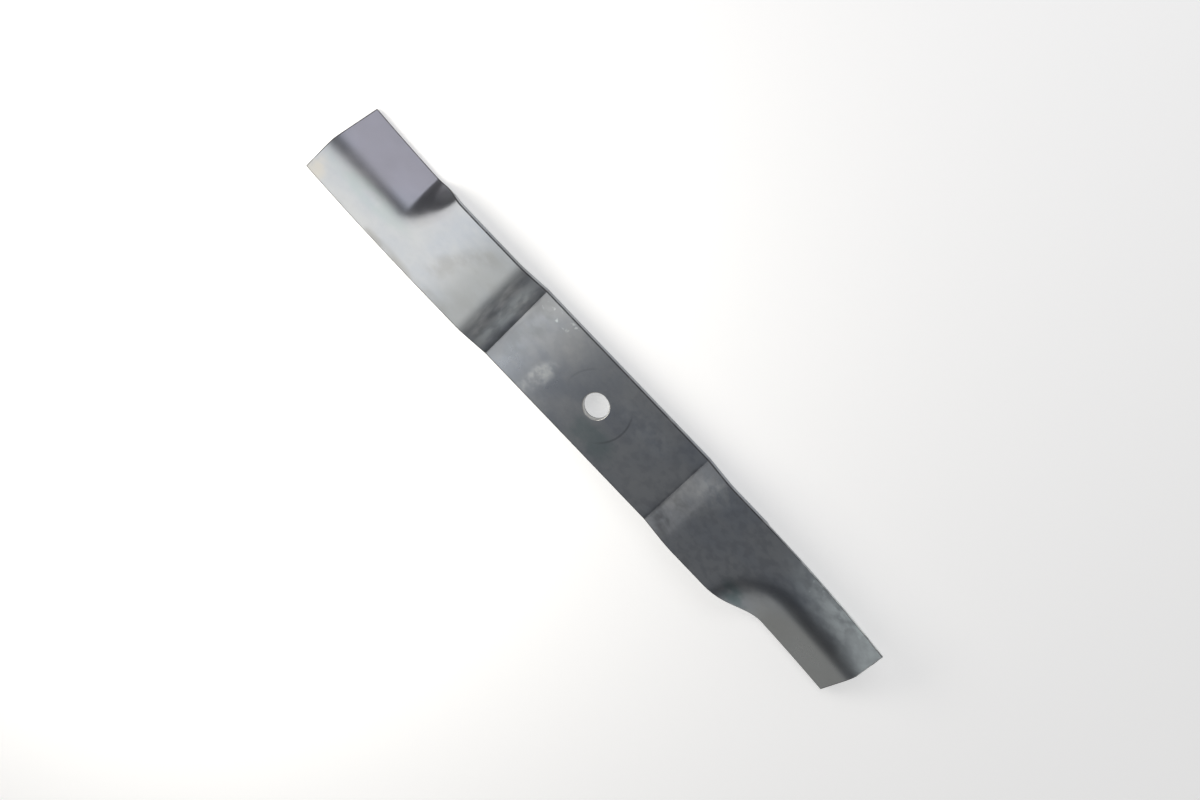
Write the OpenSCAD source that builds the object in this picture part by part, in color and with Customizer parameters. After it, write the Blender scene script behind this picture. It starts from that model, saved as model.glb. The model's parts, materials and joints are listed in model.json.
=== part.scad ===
// Rotary mower blade: one flat steel bar, pierced, offset at the centre,
// folded down at both ends into sails and ground along its two cutting edges.
// It lies grass side up. Each end is the other turned half a turn about the bore,
// but the ends are struck one at a time, and the shoulder at +X came out longer.

/* [Bar] */
// Overall length of the blade, tip to tip
blade_length = 457.2; // [430:0.1:500]
// Width of the bar
blade_width = 57.15; // [50:0.05:64]
// Thickness of the bar
plate = 5.2; // [4:0.1:6.5]

/* [Centre] */
// Diameter of the hole for the spindle bolt
bore_d = 16.8; // [12:0.1:22]
// Length of the recessed flat, from crease to crease
centre_flat = 142; // [120:1:160]
// Height of the wings above the recessed flat
wing_rise = 5.2; // [3:0.1:7]
// Slope of the ramps that lead up to the wings, in degrees
ramp_angle = 14; // [11:0.5:20]
// Inner bend radius of the crease at the foot of a ramp
crease_radius = 1.5; // [0.5:0.1:4]
// Inner bend radius at the head of a ramp
ramp_head_radius = 40; // [8:1:42]

/* [Sail] */
// Length of the straight sail, back from the tip
sail_length = 60.5; // [45:0.5:66]
// Length of the twisted shoulder between wing and sail, at the -X end
short_shoulder = 24; // [18:1:40]
// Length of the shoulder at the +X end
long_shoulder = 43; // [24:1:44]
// Angle by which the sail is folded down, in degrees
sail_angle = 31; // [20:0.5:40]
// Distance of the fold line from the centreline, towards the cutting edge
fold_offset = 5; // [0:0.5:9]
// Half the width of the rounded fold
fold_half = 11; // [3:0.5:12]
// Distance by which the sail's outer corner is set back from the tip
sail_setback = 4.5; // [0:0.5:8]

/* [Cutting edge] */
// Length over which the tip is swept and lifted
sweep_length = 104; // [95:1:108]
// Distance by which the tip is swept back
tip_sweep = 3.5; // [0:0.1:6]
// Angle by which the cutting edge is lifted at the tip, in degrees
tip_lift = 9; // [0:0.5:14]
// Length of the ground edge, back from the tip
ground_length = 107; // [80:1:109]
// Length over which the grinding runs in
ground_run_in = 9; // [4:1:20]
// Height of the edge left at the inner end of the grinding
land_inner = 3.1; // [2:0.1:3.6]
// Height of the edge left at the tip
land_tip = 1.2; // [0.6:0.1:2]
// Angle of the ground bevel to the deck face, in degrees
bevel_angle = 30; // [25:1:45]

/* [Hidden] */
$fn = 96;

// The bore is cut this far beyond both faces
cut_margin = 2;
// Plain root of each formed end
plain_root = 5;
// Steps along one bend of the offset, and along the wing, the shoulder and the sail
bend_steps = 8;
wing_steps = 6;
shoulder_steps = 14;
sail_steps = 10;
// Steps across the sail, the fold and the cutting side
sail_points = 8;
fold_points = 10;
lead_points = 3;
// Step used to find the slope of the formed face
probe = 0.05;

half_length = blade_length / 2;
half_width = blade_width / 2;
steel = [0.38, 0.40, 0.43];

// Offset centre, as a mid-plane path in X and Z
crease_mid = crease_radius + plate / 2;
head_mid = ramp_head_radius + plate / 2;
ramp_straight = (wing_rise - (crease_mid + head_mid) * (1 - cos(ramp_angle))) / sin(ramp_angle);
crease_start = centre_flat / 2 - crease_mid * tan(ramp_angle / 2);
head_start_x = crease_start + crease_mid * sin(ramp_angle) + ramp_straight * cos(ramp_angle);
head_start_z = crease_mid * (1 - cos(ramp_angle)) + ramp_straight * sin(ramp_angle);

// Stations of the formed end, along X
sweep_x = half_length - sweep_length;
ground_x = half_length - ground_length;
shoulder_end = half_length - sail_length;
root_x = min(sweep_x, ground_x, shoulder_end - max(short_shoulder, long_shoulder)) - plain_root;

// Distances across the plate, from the fold line towards the sail
sail_width = half_width + fold_offset;
lead_width = half_width - fold_offset;
bevel_tip = (plate - land_tip) / tan(bevel_angle);
across = concat(
    [for (i = [0 : sail_points]) sail_width - (sail_width - fold_half) * i / sail_points],
    [for (i = [1 : fold_points]) fold_half - 2 * fold_half * i / fold_points],
    [for (i = [1 : lead_points]) -fold_half - (lead_width - bevel_tip - fold_half) * i / lead_points],
    [-lead_width]);

// Points on the grass face of a section, and round the whole section
top = len(across);
count = 2 * top + 2;

function clamp01(v) = min(1, max(0, v));
function smooth(v) = let (c = clamp01(v)) c * c * (3 - 2 * c);
function mix(a, b, f) = a + (b - a) * f;

// One closed section: grass face from sail to cutting edge, the edge, the deck face and the back edge.
// place gives the point at a distance across and a depth below the grass face.
function section(place, land, ground) = let (
        bevel = (plate - land) / tan(bevel_angle),
        land_foot = place(-lead_width, land),
        bevel_foot = place(bevel - lead_width, plate),
        corner = place(-lead_width, plate))
    concat(
        [for (s = across) place(s, 0)],
        [land_foot, mix(corner, (land_foot + bevel_foot) / 2, ground), bevel_foot],
        [for (k = [top - 3 : -1 : 0]) place(across[k], plate)],
        [place(sail_width, land)]);

// Mid-plane path of one half of the offset: x, z and slope
offset_path = concat(
    [for (i = [0 : bend_steps]) let (slope = ramp_angle * i / bend_steps)
        [crease_start + crease_mid * sin(slope), crease_mid * (1 - cos(slope)), slope]],
    [for (i = [0 : bend_steps]) let (slope = ramp_angle * (1 - i / bend_steps))
        [head_start_x + head_mid * (sin(ramp_angle) - sin(slope)),
         head_start_z + head_mid * (cos(slope) - cos(ramp_angle)), slope]]);

offset_sections = [for (p = offset_path)
    section(
        function (s, depth) let (height = plate / 2 - depth)
            [p[0] - height * sin(p[2]), fold_offset - s, plate / 2 + p[1] + height * cos(p[2])],
        land_inner, 0)];

// Share of the fold that a point takes up: none on one side, its full distance on the other
function past_fold(s) = s <= -fold_half ? 0
    : s >= fold_half ? s
    : (s + fold_half) * (s + fold_half) / (4 * fold_half);

// How far the fold has come down at a station: the shoulder fans out from the fold's inner end
function folded(x, s, shoulder) = let (
        fan = clamp01((s + fold_half) / (sail_width + fold_half)),
        start = shoulder_end - shoulder * sqrt(1 - (1 - fan) * (1 - fan)))
    x >= shoulder_end ? 1 : smooth((x - start) / (shoulder_end - start + probe));

// Grass face of an end, at a station x and a distance s across from the fold line
function grass(x, s, shoulder) = let (
        swept = pow(clamp01((x - sweep_x) / sweep_length), 2),
        down = sail_angle * folded(x, s, shoulder),
        up = tip_lift * swept,
        drop = past_fold(s),
        lift = past_fold(-s))
    [x,
     fold_offset - tip_sweep * swept - s + drop * (1 - cos(down)) - lift * (1 - cos(up)),
     plate + wing_rise - drop * sin(down) + lift * sin(up)];

// Upward unit normal of that face
function up_normal(x, s, shoulder) = let (
        along = grass(x + probe, s, shoulder) - grass(x - probe, s, shoulder),
        over = grass(x, s - probe, shoulder) - grass(x, s + probe, shoulder),
        n = cross(along, over))
    n / norm(n);

// The tip is cut square at the fold and slants back across the sail
function tip_x(s) = half_length - sail_setback * clamp01(s / sail_width);

function station(i, s, shoulder) =
    i <= wing_steps ? mix(root_x, shoulder_end - shoulder, i / wing_steps)
    : i <= wing_steps + shoulder_steps
        ? shoulder_end - shoulder * (1 - (i - wing_steps) / shoulder_steps)
    : mix(shoulder_end, tip_x(s), (i - wing_steps - shoulder_steps) / sail_steps);

function end_sections(shoulder) = [for (i = [0 : wing_steps + shoulder_steps + sail_steps])
    let (edge_x = station(i, -lead_width, shoulder))
    section(
        function (s, depth) let (x = station(i, s, shoulder))
            grass(x, s, shoulder) - depth * up_normal(x, s, shoulder),
        mix(land_inner, land_tip, clamp01((edge_x - ground_x) / ground_length)),
        smooth((edge_x - ground_x) / ground_run_in))];

// A section of the other end: half a turn about the bore, with its points in step with this end's
function turned(points) = [for (k = [0 : count - 1])
    let (p = points[(top - 1 - k + count) % count]) [-p[0], -p[1], p[2]]];

module formed_bar() {
    right_half = concat(offset_sections, end_sections(long_shoulder));
    left_half = concat(offset_sections, end_sections(short_shoulder));
    sections = concat([for (i = [len(left_half) - 1 : -1 : 0]) turned(left_half[i])], right_half);
    last = len(sections) - 1;
    function at(i, k) = i * count + k % count;
    // Deck point that lies under a point of the grass face
    function under(k) = 2 * top - k;
    function reversed(face) = [face[2], face[1], face[0]];
    walls = [for (i = [0 : last - 1]) for (k = [0 : count - 1])
        each [[at(i, k), at(i, k + 1), at(i + 1, k + 1)], [at(i, k), at(i + 1, k + 1), at(i + 1, k)]]];
    // Each tip is closed in strips, with a fan of three at either edge
    function tip(i) = concat(
        [for (k = [1 : top - 3])
            each [[at(i, k), at(i, under(k)), at(i, under(k + 1))],
                  [at(i, k), at(i, under(k + 1)), at(i, k + 1)]]],
        [for (fan = [[1, under(0), under(1)], [1, count - 1, under(0)], [1, 0, count - 1],
                     [top - 2, top, top - 1], [top - 2, top + 1, top], [top - 2, top + 2, top + 1]])
            [at(i, fan[0]), at(i, fan[1]), at(i, fan[2])]]);
    polyhedron(
        points = [for (points = sections) each points],
        faces = concat(walls, tip(0), [for (face = tip(last)) reversed(face)]));
}

module blade() {
    color(steel)
        difference() {
            formed_bar();
            translate([0, 0, -cut_margin])
                cylinder(d = bore_d, h = plate + 2 * cut_margin);
        }
}

blade();
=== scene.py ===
import json
from math import cos, hypot, pi, radians, sin
import bpy
from mathutils import Matrix, Vector

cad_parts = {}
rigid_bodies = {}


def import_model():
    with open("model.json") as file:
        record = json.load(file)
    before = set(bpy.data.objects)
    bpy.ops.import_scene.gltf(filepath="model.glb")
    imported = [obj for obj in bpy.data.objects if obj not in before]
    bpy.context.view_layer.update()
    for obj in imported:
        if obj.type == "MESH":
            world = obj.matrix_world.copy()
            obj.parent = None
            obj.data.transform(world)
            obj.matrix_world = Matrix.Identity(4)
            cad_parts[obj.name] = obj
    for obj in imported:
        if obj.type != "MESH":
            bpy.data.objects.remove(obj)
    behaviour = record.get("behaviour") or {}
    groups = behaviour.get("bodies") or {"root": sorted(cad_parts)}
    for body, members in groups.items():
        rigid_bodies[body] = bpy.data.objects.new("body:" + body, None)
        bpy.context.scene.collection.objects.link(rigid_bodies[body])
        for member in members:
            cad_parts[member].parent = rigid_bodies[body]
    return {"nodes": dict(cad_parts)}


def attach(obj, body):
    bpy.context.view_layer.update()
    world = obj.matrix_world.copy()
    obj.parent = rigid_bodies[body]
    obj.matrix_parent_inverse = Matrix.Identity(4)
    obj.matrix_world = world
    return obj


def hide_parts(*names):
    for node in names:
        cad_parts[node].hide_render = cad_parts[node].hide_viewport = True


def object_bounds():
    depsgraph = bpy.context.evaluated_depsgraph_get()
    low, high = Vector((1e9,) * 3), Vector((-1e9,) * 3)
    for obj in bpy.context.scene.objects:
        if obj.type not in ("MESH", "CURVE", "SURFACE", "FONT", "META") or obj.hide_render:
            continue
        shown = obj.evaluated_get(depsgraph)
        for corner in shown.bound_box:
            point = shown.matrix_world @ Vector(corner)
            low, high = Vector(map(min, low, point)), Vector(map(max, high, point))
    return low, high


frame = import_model()
cad_low, cad_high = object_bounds()


# Blade
# One bar of hot-rolled spring steel, pierced, offset and folded in a press, then hardened and oiled.
# Its faces keep the dark blue-grey scale, and its rolled edges and the bore's rim are rounded over.
weld = 2e-6
bore_radius = 0.0084
edge_round = 0.0007
rim_round = 0.0006
lead_round = 0.0005
ground_round = 0.0002
ground_start = 0.118
sharp_edge = radians(40)
flat_join = radians(8)
any_shape = radians(100)
scale_slot, edge_slot, bore_slot, ground_slot, shaded_corner_slot = range(5)


def activate(obj):
    bpy.ops.object.select_all(action="DESELECT")
    obj.select_set(True)
    bpy.context.view_layer.objects.active = obj


def select_faces(obj, wanted):
    bpy.ops.object.mode_set(mode="EDIT")
    bpy.ops.mesh.select_mode(type="FACE")
    bpy.ops.mesh.select_all(action="DESELECT")
    bpy.ops.object.mode_set(mode="OBJECT")
    for face in obj.data.polygons:
        face.select = wanted(face)
    bpy.ops.object.mode_set(mode="EDIT")


def in_bore(point):
    return hypot(point[0], point[1]) < bore_radius + weld


blade = bpy.data.objects.new("mower_blade", frame["nodes"]["blade"].data.copy())
bpy.context.collection.objects.link(blade)
blade.data.materials.clear()
activate(blade)
bpy.ops.mesh.customdata_custom_splitnormals_clear()
bpy.ops.object.mode_set(mode="EDIT")
bpy.ops.mesh.select_all(action="SELECT")
bpy.ops.mesh.remove_doubles(threshold=weld)
bpy.ops.mesh.tris_convert_to_quads(face_threshold=flat_join, shape_threshold=any_shape)
bpy.ops.mesh.select_mode(type="EDGE")
bpy.ops.mesh.select_all(action="DESELECT")
bpy.ops.mesh.edges_select_sharp(sharpness=sharp_edge)
bpy.ops.mesh.mark_sharp()
bpy.ops.object.mode_set(mode="OBJECT")


# Scale finish
# The skin that rolling and hardening leave on the bar: thin blue-grey oxide under a film of oil,
# clouded along the rolling direction, rubbed paler in patches and marked by the clamp round the bore.
# Some of it is painted light: painted shade in the creases and at the head and foot of the -X ramp, and a
# painted highlight along the cutting side of the +X end.
scale_blue = (0.207, 0.228, 0.262, 1)
scale_grey = (0.263, 0.276, 0.292, 1)
scale_violet = (0.250, 0.243, 0.276, 1)
scale_neutral = (0.224, 0.229, 0.224, 1)
scale_dark = (0.150, 0.160, 0.182, 1)
rubbed_grey = (0.40, 0.41, 0.42, 1)
# Dark of stains and of the clamp ring, also the painted shade in the creases and past the foot of the -X
# ramp
dark_stain_and_shade = (0.100, 0.107, 0.118, 1)
stain_brown = (0.150, 0.150, 0.147, 1)
# Oil-film grey, for one stain and for the painted shade at the head of the -X ramp
film_and_shade_grey = (0.135, 0.147, 0.155, 1)
# Pale of dry bloom and chips, also the painted highlight on the cutting side of the +X end
pale_bloom_and_highlight = (0.65, 0.72, 0.74, 1)
oil_beige = (0.300, 0.287, 0.258, 1)
oil_teal = (0.205, 0.243, 0.250, 1)
damp_teal = (0.120, 0.165, 0.175, 1)
clamp_radius = 0.0233
crease_x = 0.071
right_sail_centre = (0.200, -0.018, -0.005)
left_sail_centre = (-0.200, 0.018, -0.005)
sail_reach = (0.070, 0.034, 0.050)
sail_tint = 0.8
spot_core = 0.35
relief_depth = 0.0001

# Paler places where the scale is rubbed thin: centre, reach, turn about Z and strength
rubbed_places = (
    ((-0.0380, -0.0150, 0.005), (0.0085, 0.0210, 0.02), radians(9), 0.52),
    ((0.030, 0.012, 0.005), (0.030, 0.014, 0.02), 0, 0.18),
    ((0.088, 0.018, 0.008), (0.020, 0.014, 0.02), radians(-30), 0.30))

# Stains where oil and damp have stood: centre, reach, turn about Z, strength and colour
stained_places = (
    ((-0.113, 0.014, 0.010), (0.018, 0.008, 0.02), radians(-40), 0.50, stain_brown),
    ((-0.124, -0.004, 0.010), (0.022, 0.010, 0.02), radians(-60), 0.40, stain_brown),
    ((-0.103, 0.000, 0.010), (0.017, 0.044, 0.02), 0, 0.30, stain_brown),
    ((-0.062, 0.002, 0.005), (0.012, 0.036, 0.02), 0, 0.50, film_and_shade_grey),
    ((0.012, -0.017, 0.005), (0.026, 0.014, 0.02), 0, 0.55, damp_teal),
    ((0.080, -0.010, 0.008), (0.018, 0.028, 0.02), 0, 0.85, dark_stain_and_shade),
    ((-0.165, -0.029, 0.010), (0.055, 0.007, 0.02), 0, 0.60, stain_brown),
    ((-0.116, -0.029, 0.010), (0.024, 0.008, 0.02), 0, 0.60, stain_brown),
    ((-0.190, -0.009, 0.010), (0.046, 0.009, 0.02), 0, 0.55, oil_teal),
    ((0.1446, -0.0210, 0.010), (0.020, 0.010, 0.02), radians(20), 0.75, damp_teal),
    ((-0.226, -0.023, 0.012), (0.014, 0.014, 0.02), 0, 0.60, oil_beige))


def shade(tree, kind, sockets=None, **settings):
    node = tree.nodes.new("ShaderNode" + kind)
    for name, value in settings.items():
        setattr(node, name, value)
    for name, value in (sockets or {}).items():
        if isinstance(value, bpy.types.NodeSocket):
            tree.links.new(value, node.inputs[name])
        else:
            node.inputs[name].default_value = value
    return node


def reading(tree, scale, offset=(0, 0, 0)):
    place = shade(tree, "TexCoord").outputs["Object"]
    return shade(tree, "Mapping", {"Vector": place, "Scale": scale, "Location": offset}).outputs["Vector"]


def noise(tree, scale, detail=3, offset=(0, 0, 0)):
    return shade(tree, "TexNoise", {
        "Vector": reading(tree, scale, offset), "Scale": 1, "Detail": detail}).outputs["Fac"]


def ramp(tree, value, low, high, to_low=0, to_high=1):
    return shade(tree, "MapRange", {
        "Value": value, "From Min": low, "From Max": high, "To Min": to_low, "To Max": to_high},
        interpolation_type="SMOOTHSTEP").outputs["Result"]


def maths(tree, operation, first, second=0.0):
    return shade(tree, "Math", {0: first, 1: second}, operation=operation).outputs["Value"]


def blend_colour(tree, factor, first, second):
    return shade(tree, "Mix", {0: factor, 6: first, 7: second}, data_type="RGBA").outputs[2]


def spot(tree, centre, reach, turn=0):
    place = shade(tree, "TexCoord").outputs["Object"]
    moved = shade(tree, "VectorMath", {0: place, 1: centre}, operation="SUBTRACT").outputs["Vector"]
    turned = shade(tree, "VectorRotate", {"Vector": moved, "Angle": turn},
                   rotation_type="Z_AXIS").outputs["Vector"]
    shares = shade(tree, "VectorMath", {0: turned, 1: reach}, operation="DIVIDE").outputs["Vector"]
    far = shade(tree, "VectorMath", {0: shares}, operation="LENGTH").outputs["Value"]
    return ramp(tree, far, spot_core, 1, 1, 0)


def new_finish(name):
    finish = bpy.data.materials.new(name)
    finish.use_nodes = True
    tree = finish.node_tree
    return finish, tree, tree.nodes["Principled BSDF"]


def dress_metal(tree, skin, colour, rough, height, strength):
    tree.links.new(colour, skin.inputs["Base Color"])
    skin.inputs["Metallic"].default_value = 1
    tree.links.new(rough, skin.inputs["Roughness"])
    bump = shade(tree, "Bump", {"Height": height, "Strength": strength, "Distance": relief_depth})
    tree.links.new(bump.outputs["Normal"], skin.inputs["Normal"])


scale_steel, tree, skin = new_finish("scale_steel")
clouds = noise(tree, (24, 30, 30), 5)
mottle = noise(tree, (120, 150, 120), 4, (0.3, 0.1, 0))
streaks = noise(tree, (9, 190, 90), 3)
grain = noise(tree, (900, 900, 900), 2)
flakes = noise(tree, (170, 210, 190), 7, (0.1, 0.8, 0.3))
place = shade(tree, "TexCoord").outputs["Object"]
along = shade(tree, "SeparateXYZ", {"Vector": place}).outputs["X"]
right_sail = spot(tree, right_sail_centre, sail_reach)
left_sail = spot(tree, left_sail_centre, sail_reach)
colour = blend_colour(tree, ramp(tree, clouds, 0.32, 0.70), scale_blue, scale_grey)
colour = blend_colour(tree, ramp(tree, mottle, 0.45, 0.75, 0, 0.40), colour, scale_grey)
colour = blend_colour(tree, ramp(tree, streaks, 0.45, 0.80, 0, 0.30), colour, scale_grey)

# Fine dark flakes on the flat and the +X arm, few on the -X arm and on the +X sail
few_until = -0.090
full_from = 0.010
few_flakes = 0.05
full_flakes = 0.32
sail_flakes = 0.15
flake_strength = ramp(tree, along, few_until, full_from, few_flakes, full_flakes)
flake_strength = maths(tree, "MULTIPLY", flake_strength, ramp(tree, right_sail, 0, 0.8, 1, sail_flakes))
flaked = maths(tree, "MULTIPLY", ramp(tree, flakes, 0.42, 0.64), flake_strength)
colour = blend_colour(tree, flaked, colour, scale_dark)

# The sails came out of the quench smoother than the rest, the -X one a shade more violet
colour = blend_colour(tree, maths(tree, "MULTIPLY", right_sail, sail_tint), colour, scale_neutral)
colour = blend_colour(tree, maths(tree, "MULTIPLY", left_sail, sail_tint), colour, scale_violet)

# The rubbed places, broken up by a cloud
rubbed = 0.0
for centre, reach, turn, strength in rubbed_places:
    patch = maths(tree, "MULTIPLY", spot(tree, centre, reach, turn), strength)
    rubbed = maths(tree, "MAXIMUM", rubbed, patch)
rub_cloud = noise(tree, (170, 190, 120), 8, (0.9, 0.4, 0))
rubbed = maths(tree, "MULTIPLY", rubbed, ramp(tree, rub_cloud, 0.38, 0.66, 0.15, 1))
colour = blend_colour(tree, rubbed, colour, rubbed_grey)

# Pale dry bloom along the cutting side of the +X end, thickest at the tip, where it also stands as a
# painted highlight, and a breath of bloom on the flat
highlight_bloom_centre = (0.240, 0.031, 0.012)
highlight_bloom_reach = (0.108, 0.031, 0.03)
highlight_bloom_turn = radians(-3)
flat_bloom = 0.3
tip_centre = (0.234, 0.022, 0.012)
tip_reach = (0.050, 0.027, 0.03)
bloom_and_highlight = spot(tree, highlight_bloom_centre, highlight_bloom_reach, highlight_bloom_turn)
bloom_and_highlight = maths(tree, "MAXIMUM", bloom_and_highlight, maths(tree, "MULTIPLY", rubbed, flat_bloom))
highlight_bloom_cloud = noise(tree, (120, 190, 110), 8, (0.5, 0.2, 0))
bloom_and_highlight = maths(tree, "MULTIPLY", bloom_and_highlight, ramp(tree, highlight_bloom_cloud, 0.34, 0.66, 0.50, 1))
tip_highlight_bloom = spot(tree, tip_centre, tip_reach)
tip_highlight_bloom = maths(tree, "MULTIPLY", tip_highlight_bloom, ramp(tree, mottle, 0.3, 0.7, 0.7, 1))
bloom_and_highlight = maths(tree, "MAXIMUM", bloom_and_highlight, tip_highlight_bloom)

# The press left the foot of the -X ramp scuffed and dry, in lines across the bar
scuff_centre = (-0.0782, 0, 0.006)
scuff_reach = (0.0062, 0.040, 0.02)
scuff_faint = 0.25
scuff_strong = 0.36
press_lines = noise(tree, (210, 48, 60), 6)
scuffs = spot(tree, scuff_centre, scuff_reach)
scuffs = maths(tree, "MULTIPLY", scuffs, ramp(tree, press_lines, 0.34, 0.66, scuff_faint, scuff_strong))
bloom_and_highlight = maths(tree, "MAXIMUM", bloom_and_highlight, scuffs)
colour = blend_colour(tree, bloom_and_highlight, colour, pale_bloom_and_highlight)

# The stains, each broken up by one cloud
stain_cloud = ramp(tree, noise(tree, (60, 95, 60), 6, (0.2, 0.7, 0)), 0.38, 0.64, 0.05, 1)
for centre, reach, turn, strength, stain in stained_places:
    patch = maths(tree, "MULTIPLY", spot(tree, centre, reach, turn), strength)
    colour = blend_colour(tree, maths(tree, "MULTIPLY", patch, stain_cloud), colour, stain)

# Painted shade that deepens along the -X arm towards the head of its ramp, and fades out just past it
ramp_shade_begins = -0.136
ramp_shade_full = -0.102
ramp_shade_thins = -0.090
ramp_shade_gone = -0.082
ramp_shade_strength = 0.62
painted_ramp_shade = ramp(tree, along, ramp_shade_begins, ramp_shade_full, 0, ramp_shade_strength)
painted_ramp_shade = maths(tree, "MULTIPLY", painted_ramp_shade, ramp(tree, along, ramp_shade_thins, ramp_shade_gone, 1, 0))
colour = blend_colour(tree, painted_ramp_shade, colour, film_and_shade_grey)

# Painted shade on the flat just past the foot of the -X ramp, which softens the step from the dark ramp to
# the flat
foot_before = -0.0715
foot_begins = -0.0705
foot_gone = -0.0605
foot_strength = 0.42
foot_shade = ramp(tree, along, foot_begins, foot_gone, foot_strength, 0)
foot_shade = maths(tree, "MULTIPLY", foot_shade, ramp(tree, along, foot_before, foot_begins))
colour = blend_colour(tree, foot_shade, colour, dark_stain_and_shade)

# Small ragged chips: a few cells of a fine pattern, thickest beside the +Y edge of the flat
# and along the cutting side of the +X end
raggedness = (1.6, 1.6, 1.6)
flat_chips_centre = (-0.052, 0.023, 0.005)
flat_chips_reach = (0.022, 0.007, 0.02)
lead_chips_centre = (0.196, 0.0235, 0.012)
lead_chips_reach = (0.048, 0.008, 0.02)
lead_chips_share = 0.8
rare_share = 0.986
band_share = 0.36
chip_strength = 0.42
ragged = shade(tree, "TexNoise", {"Vector": reading(tree, (700, 500, 700)), "Scale": 1, "Detail": 3})
ragged = shade(tree, "VectorMath", {0: ragged.outputs["Color"], 1: raggedness}, operation="MULTIPLY")
chip_place = shade(tree, "VectorMath", {
    0: reading(tree, (330, 420, 330)), 1: ragged.outputs["Vector"]}, operation="ADD").outputs["Vector"]
cells = shade(tree, "TexVoronoi", {"Vector": chip_place, "Scale": 1})
rare = shade(tree, "SeparateColor", {"Color": cells.outputs["Color"]}).outputs["Red"]
lead_band = spot(tree, lead_chips_centre, lead_chips_reach)
lead_band = maths(tree, "MULTIPLY", lead_band, lead_chips_share)
chip_band = maths(tree, "MAXIMUM", spot(tree, flat_chips_centre, flat_chips_reach), lead_band)
chip_band = maths(tree, "MULTIPLY", chip_band, band_share)
picked = maths(tree, "ADD", maths(tree, "MULTIPLY", rare, rare_share), chip_band)
picked = ramp(tree, picked, 0.988, 0.996)
chips = ramp(tree, cells.outputs["Distance"], 0.12, 0.52, chip_strength, 0)
chips = maths(tree, "MULTIPLY", chips, picked)
colour = blend_colour(tree, chips, colour, pale_bloom_and_highlight)

# The clamp's ring round the bore, broken where it didn't bite
bite_centre = (0.026, -0.003, 0.005)
bite_reach = (0.024, 0.022, 0.02)
faint_bite_centre = (-0.022, 0.010, 0.005)
faint_bite_reach = (0.012, 0.014, 0.02)
faint_bite_share = 0.5
ring_core = 0.0001
ring_width = 0.0011
ring_strength = 0.55
flat_place = shade(tree, "VectorMath", {0: place, 1: (1, 1, 0)}, operation="MULTIPLY").outputs["Vector"]
from_bore = shade(tree, "VectorMath", {0: flat_place}, operation="LENGTH").outputs["Value"]
ring_gap = maths(tree, "ABSOLUTE", maths(tree, "SUBTRACT", from_bore, clamp_radius))
faint_bite = spot(tree, faint_bite_centre, faint_bite_reach)
faint_bite = maths(tree, "MULTIPLY", faint_bite, faint_bite_share)
bite = maths(tree, "MAXIMUM", spot(tree, bite_centre, bite_reach), faint_bite)
ring = maths(tree, "MULTIPLY", ramp(tree, ring_gap, ring_core, ring_width, ring_strength, 0), bite)
colour = blend_colour(tree, ring, colour, dark_stain_and_shade)

# Painted shade: a wandering dark line and a fainter smear in each crease. Press marks: lines drawn across
# the ramp at the -X end
wander_reach = 0.005
crease_core = 0.0002
crease_width = 0.0022
crease_shade_strength = 0.75
smear_core = 0.0005
smear_width = 0.0060
shade_smear_strength = 0.18
press_centre = (-0.080, 0, 0.008)
press_reach = (0.016, 0.045, 0.02)
wander = maths(tree, "SUBTRACT", noise(tree, (30, 90, 10), 5), 0.5)
wander = maths(tree, "MULTIPLY", wander, wander_reach)
crease_gap = maths(tree, "ADD", maths(tree, "SUBTRACT", maths(tree, "ABSOLUTE", along), crease_x), wander)
crease_gap = maths(tree, "ABSOLUTE", crease_gap)
crease_shade_breakup = ramp(tree, noise(tree, (60, 45, 10), 4), 0.34, 0.62, 0.15, 1)
crease_shade_line = ramp(tree, crease_gap, crease_core, crease_width, crease_shade_strength, 0)
crease_shade_line = maths(tree, "MULTIPLY", crease_shade_line, crease_shade_breakup)
crease_shade_smear = ramp(tree, crease_gap, smear_core, smear_width, shade_smear_strength, 0)
crease_shade_smear = maths(tree, "MULTIPLY", crease_shade_smear, crease_shade_breakup)
colour = blend_colour(tree, crease_shade_smear, colour, dark_stain_and_shade)
colour = blend_colour(tree, crease_shade_line, colour, dark_stain_and_shade)
press_area = spot(tree, press_centre, press_reach)
pressed = maths(tree, "MULTIPLY", press_area, ramp(tree, press_lines, 0.40, 0.72, 0, 0.50))
colour = blend_colour(tree, pressed, colour, rubbed_grey)
smears = ramp(tree, noise(tree, (150, 60, 60), 6, (0.6, 0.1, 0)), 0.46, 0.64, 0, 0.40)
colour = blend_colour(tree, maths(tree, "MULTIPLY", press_area, smears), colour, dark_stain_and_shade)

# The bloom with its painted highlight, and the chips, are dry and dull, the rest is metal: rubbing and
# flakes roughen it
scale_smooth = 0.27
scale_rough = 0.33
worn_rough = 0.22
flake_rough = 0.12
grain_height = 0.35
mottle_height = 0.8
mark_depth = 0.8
scale_relief = 0.25
dry_metallic = 0.15
worn = maths(tree, "MAXIMUM", maths(tree, "MAXIMUM", rubbed, bloom_and_highlight), pressed)
rough = ramp(tree, clouds, 0.3, 0.7, scale_smooth, scale_rough)
rough = maths(tree, "ADD", rough, maths(tree, "MULTIPLY", worn, worn_rough))
rough = maths(tree, "ADD", rough, maths(tree, "MULTIPLY", flaked, flake_rough))
relief = maths(tree, "MULTIPLY", grain, grain_height)
relief = maths(tree, "ADD", relief, maths(tree, "MULTIPLY", mottle, mottle_height))
relief = maths(tree, "SUBTRACT", relief, flaked)
marks = maths(tree, "MULTIPLY", maths(tree, "MAXIMUM", ring, crease_shade_line), mark_depth)
relief = maths(tree, "SUBTRACT", relief, marks)
dress_metal(tree, skin, colour, rough, relief, scale_relief)
dry = maths(tree, "MAXIMUM", bloom_and_highlight, chips)
tree.links.new(ramp(tree, dry, 0, 1, 1, dry_metallic), skin.inputs["Metallic"])


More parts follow.
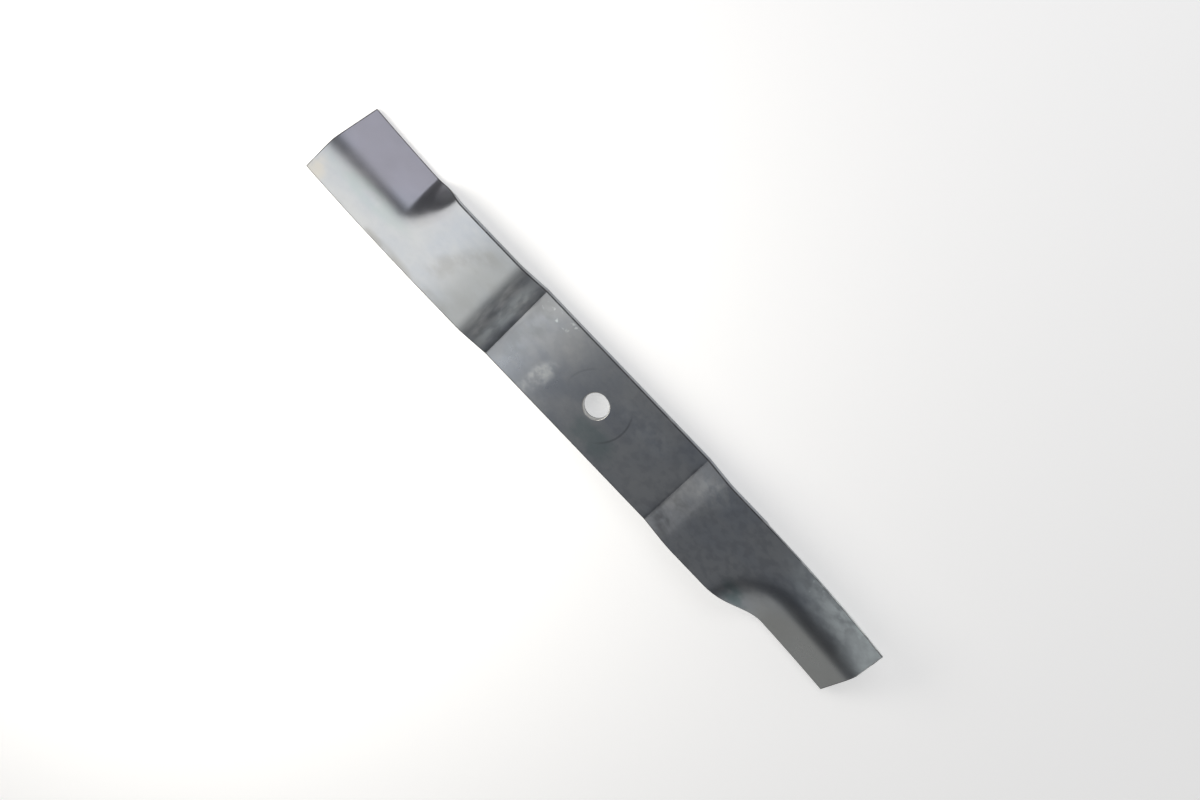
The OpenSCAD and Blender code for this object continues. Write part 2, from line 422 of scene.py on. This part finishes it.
# Sheared edge finish
# The long edges are as rolled and the tips are cropped on a shear.
# Both are duller steel than the faces, drawn into fine lines along the cut.
edge_grey = (0.27, 0.275, 0.28, 1)
edge_dark = (0.13, 0.135, 0.145, 1)
edge_smooth = 0.36
edge_rough = 0.50
edge_relief = 0.3
edge_steel, tree, skin = new_finish("sheared_edge")
lines = noise(tree, (40, 40, 1500), 3)
blotch = noise(tree, (70, 70, 70), 4)
colour = blend_colour(tree, ramp(tree, blotch, 0.3, 0.7), edge_dark, edge_grey)
colour = blend_colour(tree, ramp(tree, lines, 0.4, 0.7, 0, 0.5), colour, edge_grey)
rough = ramp(tree, blotch, 0.3, 0.7, edge_smooth, edge_rough)
dress_metal(tree, skin, colour, rough, lines, edge_relief)


# Corner finish
# The rounded corners of the bar are painted near black, as painted shade along its edges.
# It is chipped in places, and brightened along the cutting side of the +X end and its tip, partly rubbed
# bare steel and partly a painted highlight.
corner_painted_shade = (0.080, 0.082, 0.088, 1)
corner_chip = (0.17, 0.174, 0.18, 1)
corner_highlight_bright = (0.78, 0.80, 0.80, 1)
lead_highlight_centre = (0.205, 0.024, 0.013)
lead_highlight_reach = (0.085, 0.014, 0.02)
tip_highlight_centre = (0.2287, 0.020, 0.012)
tip_highlight_reach = (0.006, 0.026, 0.02)
corner_smooth = 0.42
corner_rough = 0.56
rubbed_share = 0.4
corner_relief = 0.3
corner_shade_and_highlight_steel, tree, skin = new_finish("corner_shade_and_highlight")
breaks = noise(tree, (160, 160, 160), 5)
colour = blend_colour(tree, ramp(tree, breaks, 0.52, 0.72), corner_painted_shade, corner_chip)
# Rubbed bare steel and a painted highlight along the cutting side of the +X end and its tip
lead_rub_and_highlight = spot(tree, lead_highlight_centre, lead_highlight_reach)
lead_rub_and_highlight = maths(tree, "MAXIMUM", lead_rub_and_highlight, spot(tree, tip_highlight_centre, tip_highlight_reach))
lead_rub_and_highlight = maths(tree, "MULTIPLY", lead_rub_and_highlight, ramp(tree, breaks, 0.34, 0.56, 0.3, 1))
colour = blend_colour(tree, lead_rub_and_highlight, colour, corner_highlight_bright)
rough = ramp(tree, breaks, 0.3, 0.7, corner_smooth, corner_rough)
rough = maths(tree, "MULTIPLY", rough, ramp(tree, lead_rub_and_highlight, 0, 1, 1, rubbed_share))
dress_metal(tree, skin, colour, rough, breaks, corner_relief)


# Bore finish
# The wall that the punch left in the bar: bare steel, not bushed or reamed.
# A burnished band shows where the punch went in, torn and duller towards the deck side.
bore_bright = (0.50, 0.50, 0.49, 1)
bore_torn = (0.22, 0.22, 0.22, 1)
tear_reach = 0.0018
torn_below = 0.0022
bright_above = 0.0034
bore_smooth = 0.30
bore_rough = 0.45
bore_relief = 0.35
bore_steel, tree, skin = new_finish("punched_bore")
height = shade(tree, "SeparateXYZ", {"Vector": shade(tree, "TexCoord").outputs["Object"]}).outputs["Z"]
scores = noise(tree, (900, 900, 60), 3)
band = maths(tree, "ADD", height, maths(tree, "MULTIPLY", scores, tear_reach))
colour = blend_colour(tree, ramp(tree, band, torn_below, bright_above), bore_torn, bore_bright)
rough = ramp(tree, scores, 0.3, 0.7, bore_smooth, bore_rough)
dress_metal(tree, skin, colour, rough, scores, bore_relief)


# Ground edge finish
# The cutting bevel on the deck side is ground after hardening.
# It is bright bare steel, scratched across the edge by the wheel.
ground_bright = (0.53, 0.53, 0.52, 1)
ground_dark = (0.43, 0.43, 0.43, 1)
ground_begins = 0.1216
ground_full = 0.1320
feather_reach = 0.012
ground_smooth = 0.26
ground_rough = 0.38
ground_relief = 0.2
ground_steel, tree, skin = new_finish("ground_edge")
scratches = noise(tree, (2600, 60, 60), 3)
colour = blend_colour(tree, ramp(tree, scratches, 0.30, 0.70), ground_dark, ground_bright)

# The wheel runs in over a few millimetres, so the bright face feathers out into the scale
along = shade(tree, "SeparateXYZ", {"Vector": shade(tree, "TexCoord").outputs["Object"]}).outputs["X"]
feather = maths(tree, "SUBTRACT", noise(tree, (500, 300, 300), 4), 0.5)
feather = maths(tree, "MULTIPLY", feather, feather_reach)
run_in = maths(tree, "ADD", maths(tree, "ABSOLUTE", along), feather)
colour = blend_colour(tree, ramp(tree, run_in, ground_begins, ground_full), edge_dark, colour)
rough = ramp(tree, scratches, 0.3, 0.7, ground_smooth, ground_rough)
dress_metal(tree, skin, colour, rough, scratches, ground_relief)


# Blade faces
# Each face of the bar takes the finish that its making left on it: scale on the faces, sheared edges,
# the punched bore and the ground bevels. The edges are then rounded over and the blade is placed.
level_face = 0.999
ground_down = -0.5
ground_out = 0.3
ground_side = 0.012
lead_side = 0.015
grass_face = 0.5
round_steps = 3
for finish in (scale_steel, edge_steel, bore_steel, ground_steel, corner_shade_and_highlight_steel):
    blade.data.materials.append(finish)


def on_flat(face):
    return abs(face.normal.z) > level_face and abs(face.center.x) < crease_x


def paint(slot):
    blade.active_material_index = slot
    bpy.ops.object.material_slot_assign()
    bpy.ops.object.mode_set(mode="OBJECT")


def is_ground(face):
    end = 1 if face.center.x > 0 else -1
    faces_out = face.normal.z < ground_down and face.normal.y * end > ground_out
    return faces_out and face.center.y * end > ground_side


select_faces(blade, lambda face: True)
paint(edge_slot)
select_faces(blade, on_flat)
bpy.ops.mesh.select_linked(delimit={"SHARP"})
paint(scale_slot)
select_faces(blade, lambda face: in_bore(face.center))
paint(bore_slot)
select_faces(blade, is_ground)
paint(ground_slot)
grass_faces = [face for face in blade.data.polygons if face.normal.z > grass_face]
grass_edges = {key for face in grass_faces for key in face.edge_keys}


def edge_share(edge):
    ends = [blade.data.vertices[corner].co for corner in edge.vertices]
    middle = (ends[0] + ends[1]) / 2
    if all(in_bore(end) for end in ends):
        return rim_round / edge_round
    if abs(middle.x) > ground_start and middle.x * middle.y > 0 and abs(middle.y) > lead_side:
        return (lead_round if edge.key in grass_edges else ground_round) / edge_round
    return 1


shares = blade.data.attributes.new("bevel_weight_edge", "FLOAT", "EDGE")
for edge in blade.data.edges:
    if edge.use_edge_sharp:
        shares.data[edge.index].value = edge_share(edge)
rounding = blade.modifiers.new("rounding", "BEVEL")
rounding.width = edge_round
rounding.segments = round_steps
rounding.limit_method = "WEIGHT"
rounding.material = shaded_corner_slot
rounding.use_clamp_overlap = False
bpy.ops.object.modifier_apply(modifier=rounding.name)
for face in blade.data.polygons:
    if face.material_index == shaded_corner_slot and hypot(face.center.x, face.center.y) < bore_radius + rim_round:
        face.material_index = bore_slot
bpy.ops.object.shade_smooth_by_angle(angle=sharp_edge)
weighted = blade.modifiers.new("weighted", "WEIGHTED_NORMAL")
weighted.keep_sharp = True
bpy.ops.object.modifier_apply(modifier=weighted.name)
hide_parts("blade")
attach(blade, "root")


# Floor
# A plain pale matt ground that the blade rests on, level with the blade's lowest point.
# It is lit by the lamps, and lifted to near white where the camera and the steel see it.
floor_reach = 12
floor_rough = 0.9
floor_gloss = 0.1
floor_pale = (0.86, 0.86, 0.85, 1)
floor_lift = 0.47
bpy.ops.object.select_all(action="DESELECT")
bpy.ops.mesh.primitive_plane_add(size=2 * floor_reach, location=(0, 0, cad_low.z))
floor = bpy.context.object
floor.name = "floor"
pale, tree, skin = new_finish("pale_floor")
skin.inputs["Base Color"].default_value = floor_pale
skin.inputs["Roughness"].default_value = floor_rough
skin.inputs["Specular IOR Level"].default_value = floor_gloss
path = shade(tree, "LightPath").outputs
seen = maths(tree, "MAXIMUM", path["Is Camera Ray"], path["Is Glossy Ray"])
seen = maths(tree, "MAXIMUM", seen, path["Is Transmission Ray"])
skin.inputs["Emission Color"].default_value = (1, 1, 1, 1)
tree.links.new(maths(tree, "MULTIPLY", seen, floor_lift), skin.inputs["Emission Strength"])
floor.data.materials.append(pale)


# Light
# A soft box hangs close over the -X end, with two weaker ones behind and above it.
# The room round them is dim, with paler walls low down on the far sides.
room_dim = (0.125, 0.125, 0.130, 1)
room_pale = (0.95, 0.94, 0.91, 1)
low_wall_top = 0.16
low_wall_gone = 0.34
far_wall_top = 0.25
far_wall_gone = 0.55
far_wall_strength = 0.6


def soft_box(name, place, faces, size, radiance, tint):
    lamp = bpy.data.lights.new(name, "AREA")
    lamp.shape = "RECTANGLE"
    lamp.size, lamp.size_y = size
    lamp.energy = radiance * pi * size[0] * size[1]
    lamp.color = tint
    box = bpy.data.objects.new(name, lamp)
    box.location = place
    box.rotation_euler = (Vector(faces) - Vector(place)).to_track_quat("-Z", "Y").to_euler()
    box.visible_camera = False
    bpy.context.collection.objects.link(box)


# Each box: its place, the point it faces, its size, its radiance and its tint
soft_box("key_box", (-0.336, -0.18, 0.24), (-0.336, -0.18, 0), (0.54, 0.45), 2.4, (1.0, 0.960, 0.890))
soft_box("back_box", (-0.20, 0.55, 0.60), (-0.19, 0.02, 0), (0.60, 0.36), 1.75, (0.96, 0.96, 1.0))
soft_box("top_box", (0.15, -0.40, 1.30), (0.10, 0, 0), (1.50, 1.10), 0.24, (1.0, 1.0, 1.0))
room = bpy.data.worlds.new("room")
room.use_nodes = True
tree = room.node_tree
outlook = shade(tree, "SeparateXYZ", {"Vector": shade(tree, "TexCoord").outputs["Generated"]}).outputs
low_wall = ramp(tree, outlook["Z"], low_wall_top, low_wall_gone, 1, 0)
low_wall = maths(tree, "MULTIPLY", low_wall, ramp(tree, outlook["X"], -0.6, -0.1))
far_side = maths(tree, "MAXIMUM", outlook["X"], outlook["Y"])
far_side = ramp(tree, far_side, 0.35, 0.75, 0, far_wall_strength)
far_wall = maths(tree, "MULTIPLY", ramp(tree, outlook["Z"], far_wall_top, far_wall_gone, 1, 0), far_side)
colour = blend_colour(tree, maths(tree, "MAXIMUM", low_wall, far_wall), room_dim, room_pale)
tree.links.new(colour, tree.nodes["Background"].inputs["Color"])
bpy.context.scene.world = room
bpy.context.scene.view_settings.view_transform = "Standard"


# Camera
# It looks down on the grass side, leaning 20 degrees to +Y.
# It is turned so that the blade lies corner to corner across the frame.
eye_distance = 1.1
eye_tilt = radians(20)
eye_azimuth = radians(90.6)
frame_turn = radians(44.5)
lens_length = 54.1
sensor_width = 36
aim = Vector((-0.0011, 0.0047, 0.0050))
away = Vector((sin(eye_tilt) * cos(eye_azimuth), sin(eye_tilt) * sin(eye_azimuth), cos(eye_tilt)))
upward = Vector((-sin(frame_turn), cos(frame_turn), 0))
upward = (upward - away * upward.dot(away)).normalized()
lens = bpy.data.cameras.new("camera")
lens.lens = lens_length
lens.sensor_width = sensor_width
camera = bpy.data.objects.new("camera", lens)
turn = Matrix((upward.cross(away), upward, away)).transposed()
camera.matrix_world = Matrix.Translation(aim + away * eye_distance) @ turn.to_4x4()
bpy.context.collection.objects.link(camera)
bpy.context.scene.camera = camera
